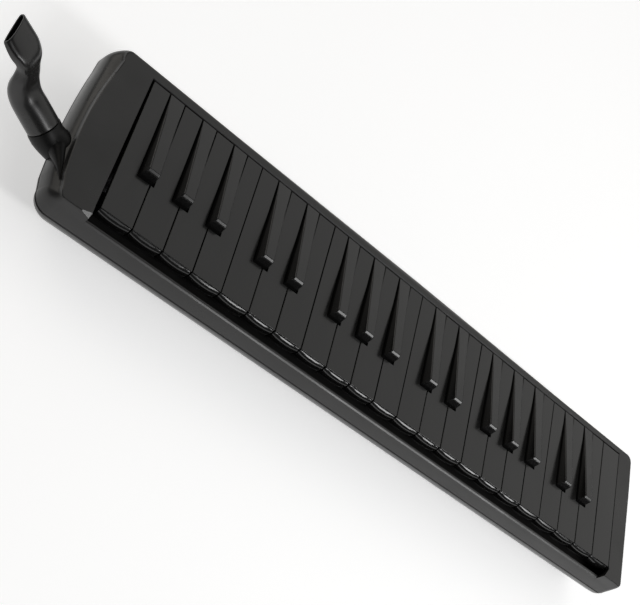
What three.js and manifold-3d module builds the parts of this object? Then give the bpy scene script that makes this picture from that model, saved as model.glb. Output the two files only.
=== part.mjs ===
// Melodica with 37 keys: a moulded case in two halves, rocking keys on one long rod,
// a valve board with free reeds under it, an air chamber, and a blow pipe with a mouthpiece.
//
// Millimetres. While it is built, x runs along the keyboard to the treble end from the left
// edge of the first natural, y runs from the front of the naturals to the back of the case,
// and z = 0 is the top of the naturals. The last lines move the whole object so that its
// origin is at the middle of its base.

import * as THREE from 'three';
import { mergeVertices } from 'three/addons/utils/BufferGeometryUtils.js';
import Module from 'manifold-3d';

const wasm = await Module();
wasm.setup();

// ---- driving dimensions ----------------------------------------------------------------

const GAP = 0.3;                  // between pieces that touch

const PITCH = 19.5;               // one natural key
const NATURALS = 22;
const KEYBOARD = NATURALS * PITCH;
const KEY_GAP = 0.7;              // between two naturals
const KEY_LENGTH = 84.6;
const KEY_PLATE = 2.4;
const KEY_LIP = 8.5;              // depth of a natural's front lip
const KEY_HEEL = 1.4;             // where the lip's inner face is
const SHARP_FRONT = 28.3;         // where the cut-out for a sharp starts
const SHARP_FOOT = 29.6;
const SHARP_RISE = 6.75;
const SHARP_HALF_BASE = 4.6;
const SHARP_HALF_TOP = 3.55;
const SHARP_CLEAR = 0.8;
const SHARP_SKIN = 1.2;

const PIVOT_Y = 62;
const PIVOT_Z = -9;
const ROD_R = 1;
const ROD_SIDES = 12;
const ROD_HOLE_R = (ROD_R + 0.07) / Math.cos(Math.PI / ROD_SIDES);
const RIB_HALF = 2.5;             // the rib under each key
const RIB_BOTTOM = -7;
const BOSS_BOTTOM = -11.6;
const TAIL_BOTTOM = -8.5;
const PAD_HALF = 3.8;             // the valve pad under each key's tail
const PAD_FRONT = 68.5;
const PAD_BACK = 84;

const WALL = 2.4;
const PARTING_Z = -15;
const CASE_FRONT = -12;
const CASE_BACK = 92.5;
const CASE_LEFT = -29.3;
const CASE_RIGHT = 446.4;
const CASE_BOTTOM = -38;
const RAIL_TOP = -5;              // the front rail's top edge
const RAIL_BACK = -7;             // and its inner face
const WINDOW_BACK = 85.6;
const WINDOW_LEFT = -2.6;
const WINDOW_RIGHT = 429;
const SLOT_FLOOR = -14;

const FRAME_TOP = -17;            // plate that carries the rod, springs and stop felt
const FRAME_PLATE = 2.4;
const POST_HALF = 1.5;
const FOOT_HEIGHT = 3;
const FOOT_R = 6.3;
const FOOT_TAPER = 0.5;
const STRAP_THICK = 1.3;
const STRAP_END = [95, 335];      // its two ends along the case
const STRAP_SIDE = [30, 56];      // its front and back edges

const BOARD_TOP = -14;            // valve board
const BOARD_BOTTOM = -17;
const CHAMBER = { left: -2, right: 431, front: 66.3, back: 86.8, bottom: -32.6, wall: 2 };
const REED_TOP = BOARD_BOTTOM - GAP;
const REED_PLATE = 1.3;
const REED_SLOT_HALF = 1.6;
const REED_TONGUE_HALF = 1.25;
const REED_LONGEST = 12;
const REED_SHORTEST = 7;
const VALVE_HALF = 2.2;           // a window in the valve board
const SPRING_HALF = 1.8;          // one finger of the spring comb
const SPRING_THICK = 0.4;
const CHAMBER_TOP = -18.3;
const DRAIN_BORE = 2.6;           // the drain's hole in the chamber's end
const PORT_Y = 77;
const PORT_Z = -26;

const SOCKET_R = 8.7;
const SOCKET_BORE = 7.4;
const DUCT_R = 6;                 // the pipe inside the case
const BLOW_BORE = 4.2;
const SPIGOT_R = 5.4;             // the mouthpiece's end that plugs into the socket
const SPIGOT_LENGTH = 12;
const MOUTH_WALL = 0.8;
const MOUTH_AXIS = new THREE.Vector3(-0.908, 0.233, 0.349).normalize();
const MOUTH_SEAT = new THREE.Vector3(-38.8, 24.9, -9);
const ROOT_STATIONS = [            // the socket's tapered root: x, y, z, radius
  [-29.2, 21, -9, 5.8], [-27.4, 15.5, -6.9, 4.4], [-25.9, 10.5, -4.9, 2.8], [-24.7, 5.5, -3.2, 1.3],
  [-23.6, 1, -2.1, 0.2],
];
const MOUTH_ROLL = THREE.MathUtils.degToRad(3);
const TIP_SLANT = THREE.MathUtils.degToRad(12);

// ---- materials -------------------------------------------------------------------------

const surface = (color, roughness, metalness) =>
  new THREE.MeshStandardMaterial({ color, roughness, metalness });
const plastic = (color, roughness) => surface(color, roughness, 0);
const metal = (color) => surface(color, 0.35, 1);

const caseBlack = plastic(0x343432, 0.5);
const keyBlack = plastic(0x2e2e2c, 0.45);
const sharpBlack = plastic(0x363634, 0.42);
const pipeBlack = plastic(0x2a2a29, 0.3);
const innerGrey = plastic(0x6b6d70, 0.55);
const feltDark = plastic(0x2b2a2b, 0.95);
const rubber = plastic(0x151515, 0.8);
const webbing = plastic(0x1b1b1c, 0.9);
const brass = metal(0xb08d4a);
const steel = metal(0xb4b6b8);

// ---- solids ----------------------------------------------------------------------------

function toSolid(geometry) {
  const bare = geometry.index ? geometry.toNonIndexed() : geometry.clone();
  bare.deleteAttribute('normal');
  bare.deleteAttribute('uv');
  const merged = mergeVertices(bare, 1e-4);
  return new wasm.Manifold(new wasm.Mesh({
    numProp: 3,
    vertProperties: new Float32Array(merged.attributes.position.array),
    triVerts: new Uint32Array(merged.index.array),
  }));
}

function toGeometry(solid) {
  const mesh = solid.getMesh();
  const geometry = new THREE.BufferGeometry();
  geometry.setAttribute('position', new THREE.BufferAttribute(new Float32Array(mesh.vertProperties), 3));
  geometry.setIndex(new THREE.BufferAttribute(new Uint32Array(mesh.triVerts), 1));
  return geometry;
}

function box(x0, x1, y0, y1, z0, z1) {
  const geometry = new THREE.BoxGeometry(x1 - x0, y1 - y0, z1 - z0);
  return toSolid(geometry.translate((x0 + x1) / 2, (y0 + y1) / 2, (z0 + z1) / 2));
}

function extrude(outline, depth) {
  const shape = new THREE.Shape(outline.map(([u, v]) => new THREE.Vector2(u, v)));
  return new THREE.ExtrudeGeometry(shape, { depth, bevelEnabled: false });
}

// An outline in (y, z) carried along x.
function prismX(outline, x0, x1) {
  const basis = new THREE.Matrix4().makeBasis(
    new THREE.Vector3(0, 1, 0), new THREE.Vector3(0, 0, 1), new THREE.Vector3(1, 0, 0));
  return toSolid(extrude(outline, x1 - x0).applyMatrix4(basis).translate(x0, 0, 0));
}

// An outline in (x, z) carried along y.
function prismY(outline, y0, y1) {
  return toSolid(extrude(outline, y1 - y0).rotateX(Math.PI / 2).translate(0, y1, 0));
}

// An outline in (x, y) carried along z.
function prismZ(outline, z0, z1) {
  return toSolid(extrude(outline, z1 - z0).translate(0, 0, z0));
}

// A round bar along x.
function barX(radius, x0, x1, y, z, sides = 16) {
  const geometry = new THREE.CylinderGeometry(radius, radius, x1 - x0, sides).rotateZ(Math.PI / 2);
  return toSolid(geometry.translate((x0 + x1) / 2, y, z));
}

// A ring around a line along x.
function ringX(inner, outer, x0, x1, y, z, sides = 20) {
  const profile = [[inner, x0], [outer, x0], [outer, x1], [inner, x1], [inner, x0]];
  const geometry = new THREE.LatheGeometry(profile.map(([r, h]) => new THREE.Vector2(r, h)), sides);
  return toSolid(geometry.rotateZ(-Math.PI / 2).translate(0, y, z));
}

// A bar bent along stations: each has a centre, two cross directions and two half sizes.
// `halfLow` is the half height under the middle, where it differs from the one above.
function sweep(stations, sides = 16) {
  const geometry = new THREE.CylinderGeometry(1, 1, 1, sides, stations.length - 1);
  const position = geometry.attributes.position;
  const point = new THREE.Vector3();
  for (let i = 0; i < position.count; i++) {
    const along = Math.round((position.getY(i) + 0.5) * (stations.length - 1));
    const { centre, wide, high, halfWide, halfHigh, halfLow = halfHigh } = stations[along];
    const up = -position.getZ(i);
    point.copy(centre)
      .addScaledVector(wide, position.getX(i) * halfWide)
      .addScaledVector(high, up * (up > 0 ? halfHigh : halfLow));
    position.setXYZ(i, point.x, point.y, point.z);
  }
  return toSolid(geometry);
}

const group = new THREE.Group();
const melodica = new THREE.Group();
melodica.add(group);

function addPart(name, solid, material) {
  const mesh = new THREE.Mesh(toGeometry(solid), material);
  mesh.name = name;
  group.add(mesh);
}

// ---- the case --------------------------------------------------------------------------

// Points along an arc: its centre, radius, start and end angle in degrees.
function arc(x, y, radius, from, to, steps) {
  const points = [];
  for (let i = 0; i <= steps; i++) {
    const angle = THREE.MathUtils.degToRad(from + (to - from) * i / steps);
    points.push([x + radius * Math.cos(angle), y + radius * Math.sin(angle)]);
  }
  return points;
}

// The left end is a shallow bow, widest a little in front of the middle.
const leftEdge = (y) => CASE_LEFT + 0.0014 * (y - 33) ** 2;

// The widest outline.
const casePlan = [
  ...arc(438.4, -3.6, 8.4, -90, 0, 5), [447.3, 30], [447.3, 60],
  ...arc(439.8, 84.8, 7, 0, 90, 4),
  [330, CASE_BACK + 0.3], [210, CASE_BACK + 1.4], [90, CASE_BACK + 1.3],
  ...arc(-15.4, 82.6, 10.8, 90, 172, 5),
  ...[68, 56, 44, 33, 20, 8].map((y) => [leftEdge(y), y]),
  ...arc(-17.8, -3, 9, 176, 270, 5),
];
const planBox = new THREE.Box2().setFromPoints(casePlan.map(([x, y]) => new THREE.Vector2(x, y)));

// How far the outline is drawn in at each height: height, front, back, left, right.
const CASE_LEVELS = [
  [CASE_BOTTOM, 14.2, 6.5, 17, 9.5], [-34.4, 11.3, 1.9, 11, 4], [-28, 5.9, 0.3, 6.4, 0.8],
  [-22, 2, 0, 2.8, 0], [-17.6, 0, 0, 0.5, 0], [PARTING_Z, 0, 0, 0, 0], [-10, 1.2, 0, 0, 0],
  [RAIL_TOP, 2.8, 0, 0, 0], [-3.4, 3.3, 0, 0.2, 0], [-1.1, 4, 0.7, 1.4, 0.8], [0, 4.5, 2.9, 3.4, 3.6],
];

// The chamfer along the left end, as an outline in (x, z).
const CHAMFER = [[-23.6, 0], [-24.2, -2], [-28.4, -7.5], [-45, -22], [-45, -60], [480, -60], [480, 0]];

// The outline stacked through the levels, with every wall moved inward by t.
function caseSolid(t) {
  const geometry = new THREE.CylinderGeometry(1, 1, 1, casePlan.length, CASE_LEVELS.length - 1);
  const position = geometry.attributes.position;
  const { mapLinear } = THREE.MathUtils;
  for (let i = 0; i < position.count; i++) {
    const [u, v] = [position.getX(i), position.getZ(i)];
    const row = Math.round((position.getY(i) + 0.5) * (CASE_LEVELS.length - 1));
    const [z, front, back, left, right] = CASE_LEVELS[row];
    const height = mapLinear(z, CASE_BOTTOM, 0, CASE_BOTTOM + t, -t);
    const turn = Math.round(Math.atan2(u, v) / (2 * Math.PI) * casePlan.length);
    const onAxis = Math.hypot(u, v) < 0.5;
    const [px, py] = onAxis ? [200, 40] : casePlan[(turn + casePlan.length) % casePlan.length];
    const { min, max } = planBox;
    const x = mapLinear(px, min.x, max.x, min.x + left + t, max.x - right - t);
    const y = mapLinear(py, min.y, max.y, min.y + front + t, max.y - back - t);
    position.setXYZ(i, x, y, height);
  }
  const chamfer = CHAMFER.map(([x, z]) => [x + t, z - t * 0.6]);
  return toSolid(geometry).intersect(prismY(chamfer, CASE_FRONT - 10, CASE_BACK + 10));
}

const caseOuter = caseSolid(0);
const caseInner = caseSolid(WALL);

// ---- blow pipe: socket, duct and mouthpiece ----------------------------------------------

const inward = MOUTH_AXIS.clone().negate();
const socketBend = MOUTH_SEAT.clone().addScaledVector(inward, 6);
const pipeRoute = new THREE.CatmullRomCurve3([
  MOUTH_SEAT, socketBend, new THREE.Vector3(-21.5, 22.8, -12.3), new THREE.Vector3(-14.5, 30, -14.5),
  new THREE.Vector3(-13, 45, -18.5), new THREE.Vector3(-12.6, 62, -23.5),
  new THREE.Vector3(-9, 74.4, -25.8), new THREE.Vector3(CHAMBER.left + 2, PORT_Y, PORT_Z),
], false, 'centripetal');

// Stations along the pipe, from the mouth of the socket to the chamber.
function pipeStations(socketRadius, ductRadius, extra = 0) {
  const steps = 18;
  const frames = pipeRoute.computeFrenetFrames(steps);
  const stations = [];
  for (let i = 0; i <= steps; i++) {
    const centre = pipeRoute.getPointAt(i / steps);
    const blend = THREE.MathUtils.smoothstep(i / steps, 0.2, 0.36);
    const radius = THREE.MathUtils.lerp(socketRadius, ductRadius, blend);
    if (i === 0) centre.addScaledVector(MOUTH_AXIS, extra);
    if (i === steps) centre.x += extra;
    stations.push({
      centre, wide: frames.normals[i], high: frames.binormals[i], halfWide: radius, halfHigh: radius,
    });
  }
  return stations;
}

const pipeOuter = sweep(pipeStations(SOCKET_R, DUCT_R));
const pipeBore = sweep(pipeStations(SOCKET_BORE, BLOW_BORE, 1));
const pipeClear = sweep(pipeStations(SOCKET_R + GAP, DUCT_R + GAP, 1));
const chamberEnd = box(CHAMBER.left - GAP, CHAMBER.left + 20, 50, 100, -50, 0);

// The root runs down from the socket beside the top's left edge and fades out.
function rootSolid(extra) {
  const [wide, high] = [new THREE.Vector3(1, 0, 0), new THREE.Vector3(0, 0, 1)];
  return sweep(ROOT_STATIONS.map(([x, y, z, radius]) => ({
    centre: new THREE.Vector3(x, y, z), wide, high, halfWide: radius + extra, halfHigh: radius + extra,
  })));
}

const socket = pipeOuter.subtract(chamberEnd).add(rootSolid(0)).subtract(pipeBore);
addPart('inlet_socket', socket, pipeBlack);

// The mouthpiece is a flat S in the plane of `along` and `rise`; `across` is its wide way.
const upright = new THREE.Vector3(0, 0, 1);
const level = upright.clone().addScaledVector(MOUTH_AXIS, -MOUTH_AXIS.z).normalize();
const side = new THREE.Vector3().crossVectors(MOUTH_AXIS, level);
const rise = level.clone().multiplyScalar(Math.cos(MOUTH_ROLL)).addScaledVector(side, Math.sin(MOUTH_ROLL));
const across = new THREE.Vector3().crossVectors(rise, MOUTH_AXIS);

// Its bends, one after another: length, turn in degrees.
const MOUTH_BENDS = [[14.1, 0], [14.5, 44], [10, 0], [4.5, -43], [12.3, 0]];
// Its sizes: place along it, half width, half height, and the share of that height under the middle.
const MOUTH_SIZES = [
  [0, 8.4, 8.4, 1], [11.6, 8.4, 8.3, 1], [21, 8.2, 7.6, 1], [27, 8, 6.9, 0.84], [32, 7.8, 6, 0.62],
  [37, 7.5, 5.2, 0.5], [41, 8.6, 4.6, 0.46], [45, 9.6, 4.5, 0.46], [50, 9.7, 4.2, 0.42],
  [55.4, 9.2, 3.9, 0.3],
];

function sizeAt(place, column) {
  const last = MOUTH_SIZES.length - 1;
  const next = Math.min(last, Math.max(1, MOUTH_SIZES.findIndex(([at]) => at >= place)));
  const [from, to] = [MOUTH_SIZES[next - 1], MOUTH_SIZES[next]];
  return THREE.MathUtils.lerp(from[column], to[column], (place - from[0]) / (to[0] - from[0]));
}

// Stations along the mouthpiece, drawn in by `thinner`, the tip moved out by `extra`.
function mouthStations(thinner, extra = 0) {
  const stations = [];
  const centre = MOUTH_SEAT.clone().addScaledVector(MOUTH_AXIS, GAP);
  let heading = 0;
  let place = 0;
  const push = () => {
    const high = rise.clone().applyAxisAngle(across, -heading);
    stations.push({
      centre: centre.clone(), wide: across, high, halfWide: sizeAt(place, 1) - thinner,
      halfHigh: sizeAt(place, 2) - thinner, halfLow: sizeAt(place, 2) * sizeAt(place, 3) - thinner,
    });
  };
  push();
  for (const [length, turn] of MOUTH_BENDS) {
    const steps = Math.ceil(length / 3);
    const step = length / steps;
    const halfTurn = THREE.MathUtils.degToRad(turn) / steps / 2;
    for (let i = 0; i < steps; i++) {
      heading += halfTurn;
      centre.addScaledVector(MOUTH_AXIS.clone().applyAxisAngle(across, -heading), step);
      heading += halfTurn;
      place += step;
      push();
    }
  }
  const tip = stations.at(-1);
  tip.centre.addScaledVector(MOUTH_AXIS, extra);
  tip.wide = across.clone().addScaledVector(MOUTH_AXIS, -Math.tan(TIP_SLANT));
  return stations;
}

// A round bar or bore along the mouthpiece's axis; the distances run outward from its seat.
function mouthRod(radius, from, to, sides = 16) {
  const stations = [from, to].map((distance) => ({
    centre: MOUTH_SEAT.clone().addScaledVector(MOUTH_AXIS, distance),
    wide: across, high: rise, halfWide: radius, halfHigh: radius,
  }));
  return sweep(stations, sides);
}

const spigot = mouthRod(SPIGOT_R, -SPIGOT_LENGTH, 2);
const mouthBody = sweep(mouthStations(0), 20).add(spigot);
const mouthBore = mouthRod(BLOW_BORE, -SPIGOT_LENGTH - 1, 8)
  .add(sweep(mouthStations(MOUTH_WALL, 1).slice(2), 20));
addPart('mouthpiece', mouthBody.subtract(mouthBore), pipeBlack);

// The seal sits in the socket around the spigot.
const sealRing = mouthRod(SOCKET_BORE - GAP, -5.2, -3).subtract(mouthRod(SPIGOT_R + GAP, -6, 0));
addPart('mouthpiece_seal', sealRing, rubber);

// ---- case halves -------------------------------------------------------------------------

const far = 600;
const above = box(-far, far, -far, far, PARTING_Z + GAP / 2, far);
const below = box(-far, far, -far, far, -far, PARTING_Z - GAP / 2);

const keyWindow = prismZ([
  [WINDOW_LEFT, -1], [WINDOW_RIGHT, -1], [WINDOW_RIGHT, WINDOW_BACK], [-0.8, WINDOW_BACK],
], -10, 5);
const slotRight = [429.9, -1.2];     // the slot's right end slants in from here to the rail
const railCut = prismZ([
  [WINDOW_LEFT, 0.5], [WINDOW_LEFT, -20], [417, -20], [421.9, -13], [422.8, -11.8],
  slotRight, [slotRight[0], 0.5],
], RAIL_TOP, 5);
const slotCut = prismZ([
  [WINDOW_LEFT, 0.5], [WINDOW_LEFT, RAIL_BACK], [426, RAIL_BACK], slotRight, [slotRight[0], 0.5],
], SLOT_FLOOR, 5);
const upperCase = caseOuter.subtract(caseInner).intersect(above)
  .subtract(keyWindow).subtract(railCut).subtract(slotCut).subtract(pipeClear).subtract(rootSolid(GAP));
addPart('upper_case', upperCase, caseBlack);

const buttonHole = barX(4.6, 430, 460, PORT_Y, PORT_Z);
const lowerCase = caseOuter.subtract(caseInner).intersect(below).subtract(pipeClear).subtract(buttonHole);
addPart('lower_case', lowerCase, caseBlack);

const footPlaces = {
  front_left: [-0.5, 7.8], front_right: [428.6, 7.8], back_left: [-0.5, 79], back_right: [428.6, 79],
};
for (const [name, [x, y]] of Object.entries(footPlaces)) {
  const foot = new THREE.CylinderGeometry(FOOT_R - FOOT_TAPER, FOOT_R, FOOT_HEIGHT - GAP, 16);
  foot.rotateX(-Math.PI / 2).translate(x, y, CASE_BOTTOM - (FOOT_HEIGHT + GAP) / 2);
  addPart(`foot_${name}`, toSolid(foot), rubber);
}

const strapTop = CASE_BOTTOM - GAP;
addPart('hand_strap', box(...STRAP_END, ...STRAP_SIDE, strapTop - STRAP_THICK, strapTop), webbing);

// ---- keys --------------------------------------------------------------------------------

// Offsets of the five sharps from the line between their two naturals.
const OCTAVE = [['f', -3.2], ['g', -0.1], ['a', 3.1], ['b', null], ['c', -1.8], ['d', 1.4], ['e', null]];

const sharps = [];
for (let i = 0; i < NATURALS - 1; i++) {
  const [letter, offset] = OCTAVE[i % 7];
  if (offset !== null) sharps.push({ letter, index: i, x: (i + 1) * PITCH + offset });
}

// An octave number counts from c, and the first key is f3.
const octaveOf = (index) => 3 + Math.floor((index + 3) / 7);

const rodHole = (x0, x1) => barX(ROD_HOLE_R, x0, x1, PIVOT_Y, PIVOT_Z, ROD_SIDES);

// The rib, hinge boss and valve pad under a key.
function lever(x, front, ribTop) {
  const rib = prismX([
    [front, ribTop], [front, RIB_BOTTOM], [Math.max(40, front + 4), RIB_BOTTOM], [PIVOT_Y - 4, BOSS_BOTTOM],
    [PIVOT_Y + 4, BOSS_BOTTOM], [PIVOT_Y + 6, TAIL_BOTTOM], [KEY_LENGTH, TAIL_BOTTOM], [KEY_LENGTH, ribTop],
  ], x - RIB_HALF, x + RIB_HALF);
  const pad = box(x - PAD_HALF, x + PAD_HALF, PAD_FRONT, PAD_BACK, BOARD_TOP + GAP, TAIL_BOTTOM + 0.1);
  return rib.add(pad).subtract(rodHole(x - 5, x + 5));
}

const naturalSection = [
  [0, 0], [KEY_LENGTH, 0], [KEY_LENGTH, -KEY_PLATE], [KEY_HEEL, -KEY_PLATE], [KEY_HEEL, -KEY_LIP],
  [-0.9, -KEY_LIP], [-1.2, -4], [-0.9, -1.2],
];

const levers = [];
for (let i = 0; i < NATURALS; i++) {
  const x0 = i * PITCH + KEY_GAP / 2;
  const x1 = (i + 1) * PITCH - KEY_GAP / 2;
  const half = SHARP_HALF_BASE + SHARP_CLEAR;
  const onLeft = sharps.find((sharp) => sharp.index === i - 1);
  const onRight = sharps.find((sharp) => sharp.index === i);
  const neckLeft = onLeft ? onLeft.x + half : x0;
  const neckRight = onRight ? onRight.x - half : x1;
  let key = prismX(naturalSection, x0, x1);
  if (onLeft) key = key.subtract(box(x0 - 1, neckLeft, SHARP_FRONT, 100, -20, 5));
  if (onRight) key = key.subtract(box(neckRight, x1 + 1, SHARP_FRONT, 100, -20, 5));
  const x = (neckLeft + neckRight) / 2;
  addPart(`key_${OCTAVE[i % 7][0]}${octaveOf(i)}`, key.add(lever(x, 1.3, -KEY_PLATE + 0.4)), keyBlack);
  levers.push(x);
}

const sharpSection = [
  [SHARP_FOOT, -7], [KEY_LENGTH, -7], [KEY_LENGTH, 0], [32.6, SHARP_RISE], [31.2, SHARP_RISE - 0.8],
  [30.6, 4], [SHARP_FOOT, 0],
];
for (const { letter, index, x } of sharps) {
  const taper = prismY([
    [x - SHARP_HALF_BASE, -9], [x + SHARP_HALF_BASE, -9], [x + SHARP_HALF_BASE, 0],
    [x + SHARP_HALF_TOP, SHARP_RISE], [x - SHARP_HALF_TOP, SHARP_RISE], [x - SHARP_HALF_BASE, 0],
  ], 0, 100);
  const hollowHalf = SHARP_HALF_BASE - SHARP_SKIN;
  const hollow = box(x - hollowHalf, x + hollowHalf, SHARP_FOOT + 2, 100, -20, -1);
  const cap = prismX(sharpSection, x - 6, x + 6).intersect(taper).subtract(hollow);
  const key = cap.add(lever(x, SHARP_FOOT + 1, -0.8));
  addPart(`key_${letter}s${octaveOf(index)}`, key, sharpBlack);
  levers.push(x);
}
levers.sort((a, b) => a - b);

// ---- rod, frame, springs and stop felt ------------------------------------------------------

addPart('key_rod', barX(ROD_R, -3.4, KEYBOARD + 3.4, PIVOT_Y, PIVOT_Z, ROD_SIDES), steel);

// A post stands between b and c, between e and f, and at each end of the keyboard.
const postPlaces = [-1, 430];
for (let i = 0; i < NATURALS - 1; i++) {
  if (OCTAVE[i % 7][1] === null) postPlaces.push((i + 1) * PITCH);
}
let frame = box(-2.6, KEYBOARD + 2.6, 3, 56, FRAME_TOP - FRAME_PLATE, FRAME_TOP)
  .add(box(-2.6, KEYBOARD + 2.6, -8.3, 12, FRAME_TOP - 1, -14.1));
for (const x of postPlaces) {
  const post = prismX([
    [44, FRAME_TOP - 1], [59, -5.8], [65, -5.8], [65, -12.2], [56, FRAME_TOP - FRAME_PLATE],
    [50, CASE_BOTTOM + WALL + GAP], [20, CASE_BOTTOM + WALL + GAP], [20, FRAME_TOP - 1],
  ], x - POST_HALF, x + POST_HALF);
  frame = frame.add(post);
}
addPart('key_frame', frame.subtract(rodHole(-10, KEYBOARD + 10)), caseBlack);

const combTop = FRAME_TOP + GAP + SPRING_THICK;
let comb = box(2, KEYBOARD - 2, 20, 27.2, combTop - SPRING_THICK, combTop);
for (const x of levers) {
  const finger = [[27, combTop], [27, combTop - SPRING_THICK], [50, -11.5], [50, -11.5 + SPRING_THICK]];
  comb = comb.add(prismX(finger, x - SPRING_HALF, x + SPRING_HALF));
}
addPart('spring_comb', comb, steel);

addPart('key_stop_felt', box(0, KEYBOARD, 3, 11, -13.8, -11.8), feltDark);

// ---- valve board, reeds and air chamber -----------------------------------------------------

const { left, right, front, back, bottom, wall } = CHAMBER;
let board = box(left, right, front, back, BOARD_BOTTOM, BOARD_TOP);
for (const x of levers) {
  board = board.subtract(box(x - VALVE_HALF, x + VALVE_HALF, 71, 82, BOARD_BOTTOM - 1, BOARD_TOP + 1));
}
addPart('valve_board', board, innerGrey);

const rimInner = (z0, z1) => box(left + wall, right - wall, front + wall, back - wall, z0, z1);
const gasket = box(left, right, front, back, CHAMBER_TOP + GAP, BOARD_BOTTOM - GAP)
  .subtract(rimInner(-20, -16));
addPart('chamber_gasket', gasket, rubber);

// Each reed is a tongue left standing in its slot; the tongues get shorter to the treble.
function reedPlate(places, firstIndex) {
  const x0 = places[0] - 5;
  const x1 = places.at(-1) + 5;
  let plate = box(x0, x1, 68.6, 84.5, REED_TOP - REED_PLATE, REED_TOP);
  const [half, play] = [REED_TONGUE_HALF, REED_SLOT_HALF - REED_TONGUE_HALF];
  places.forEach((x, i) => {
    const end = 71 + REED_LONGEST - (REED_LONGEST - REED_SHORTEST) * (firstIndex + i) / (levers.length - 1);
    const slot = box(x - REED_SLOT_HALF, x + REED_SLOT_HALF, 71, end, -20, -16);
    const tongue = box(x - half, x + half, 70, end - play, REED_TOP - 0.9, REED_TOP - 0.4);
    plate = plate.subtract(slot.subtract(tongue));
  });
  return plate;
}
const SPLIT = 19;
addPart('reed_plate_low', reedPlate(levers.slice(0, SPLIT), 0), brass);
addPart('reed_plate_high', reedPlate(levers.slice(SPLIT), SPLIT), brass);

const chamber = box(left, right, front, back, bottom, CHAMBER_TOP)
  .subtract(rimInner(bottom + wall, 0))
  .subtract(barX(BLOW_BORE, left - 1, left + wall + 1, PORT_Y, PORT_Z))
  .subtract(barX(DRAIN_BORE, right - wall - 1, right + 1, PORT_Y, PORT_Z));
addPart('air_chamber', chamber, innerGrey);

// ---- drain button ---------------------------------------------------------------------------

const STEM_R = 1.3;
const STEM_END = 425.6;
const STEM_FLANGE = 1.1;
const HEAD_R = 4.2;
const HEAD_INNER = 443.6;
const HEAD_OUTER = 448.6;
const button = barX(HEAD_R, HEAD_INNER, HEAD_OUTER, PORT_Y, PORT_Z)
  .add(barX(STEM_R, STEM_END, HEAD_INNER + 1, PORT_Y, PORT_Z, 12))
  .add(barX(DRAIN_BORE, STEM_END, STEM_END + STEM_FLANGE, PORT_Y, PORT_Z, 12));
addPart('drain_button', button, caseBlack);
addPart('drain_seal', ringX(STEM_R + GAP, 4.4, 427, 428.7, PORT_Y, PORT_Z, 16), rubber);

class Helix extends THREE.Curve {
  getPoint(t, target = new THREE.Vector3()) {
    const turns = 5;
    const angle = t * turns * 2 * Math.PI;
    return target.set(431.8 + t * 11, PORT_Y + 3 * Math.cos(angle), PORT_Z + 3 * Math.sin(angle));
  }
}
const wire = new THREE.Shape(arc(0, 0, 0.4, 0, 288, 4).map(([u, v]) => new THREE.Vector2(u, v)));
const coil = new THREE.ExtrudeGeometry(wire, { steps: 50, extrudePath: new Helix(), bevelEnabled: false });
addPart('drain_spring', toSolid(coil), steel);

// ---- the origin goes to the middle of the base -----------------------------------------------

const bounds = new THREE.Box3().setFromObject(group);
const middle = bounds.getCenter(new THREE.Vector3());
group.position.set(-middle.x, -middle.y, -bounds.min.z);

export default melodica;
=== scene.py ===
import math

import bmesh
import bpy
from mathutils import Matrix, Vector


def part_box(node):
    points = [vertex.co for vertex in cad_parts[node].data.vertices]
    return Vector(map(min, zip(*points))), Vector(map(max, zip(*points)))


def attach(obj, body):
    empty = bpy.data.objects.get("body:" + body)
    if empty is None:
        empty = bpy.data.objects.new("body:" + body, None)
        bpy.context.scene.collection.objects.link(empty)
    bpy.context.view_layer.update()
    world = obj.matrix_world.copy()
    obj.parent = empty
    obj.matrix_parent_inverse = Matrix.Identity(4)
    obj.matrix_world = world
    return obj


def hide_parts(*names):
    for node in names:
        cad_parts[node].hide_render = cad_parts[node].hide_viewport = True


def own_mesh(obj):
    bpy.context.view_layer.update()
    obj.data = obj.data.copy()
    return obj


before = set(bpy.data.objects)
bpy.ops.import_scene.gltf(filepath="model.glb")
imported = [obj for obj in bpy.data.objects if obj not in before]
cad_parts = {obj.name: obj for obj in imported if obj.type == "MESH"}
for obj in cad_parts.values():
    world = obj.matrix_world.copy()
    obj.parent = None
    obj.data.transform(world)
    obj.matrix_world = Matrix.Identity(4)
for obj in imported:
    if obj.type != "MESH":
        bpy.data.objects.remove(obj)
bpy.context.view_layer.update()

# A 37-key melodica: two case halves, keys that rock on one rod, a curved mouthpiece that turns in
# its socket and pulls out of it, a drain button, rubber feet and a hand strap.
#
# Lengths are in millimetres until at() turns them into the row frame's metres. x runs along
# the keyboard from the left edge of the first natural, y from the naturals' front edge to the
# back, and z = 0 is the top of the naturals.
MM = 0.001

PITCH = 19.5
NATURALS = 22
KEYBOARD = PITCH * NATURALS
KEY_GAP = 0.7
KEY_LENGTH = 84.6
KEY_PLATE = 2.4
CAD_LIP = 1.2
PARTING_Z = -15
HALF_GAP = 0.15
CASE_FRONT, CASE_BACK, CASE_LEFT, CASE_BOTTOM = -12, 92.5, -29.3, -38
WALL = 2.4

FIRST_LOW, FIRST_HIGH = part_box("key_f3")
ORIGIN = Vector((FIRST_LOW.x - KEY_GAP / 2 * MM, FIRST_LOW.y + CAD_LIP * MM, FIRST_HIGH.z))


def at(x, y, z):
    """A point of the key frame, in the row frame's metres."""
    return ORIGIN + Vector((x, y, z)) * MM


# ---- mesh helpers ---------------------------------------------------------------------------


def new_object(name, points, faces):
    """A mesh object in the scene, from points in the key frame."""
    mesh = bpy.data.meshes.new(name)
    mesh.from_pydata([at(*p) for p in points], [], faces)
    mesh.validate()
    obj = bpy.data.objects.new(name, mesh)
    bpy.context.scene.collection.objects.link(obj)
    return obj


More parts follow.
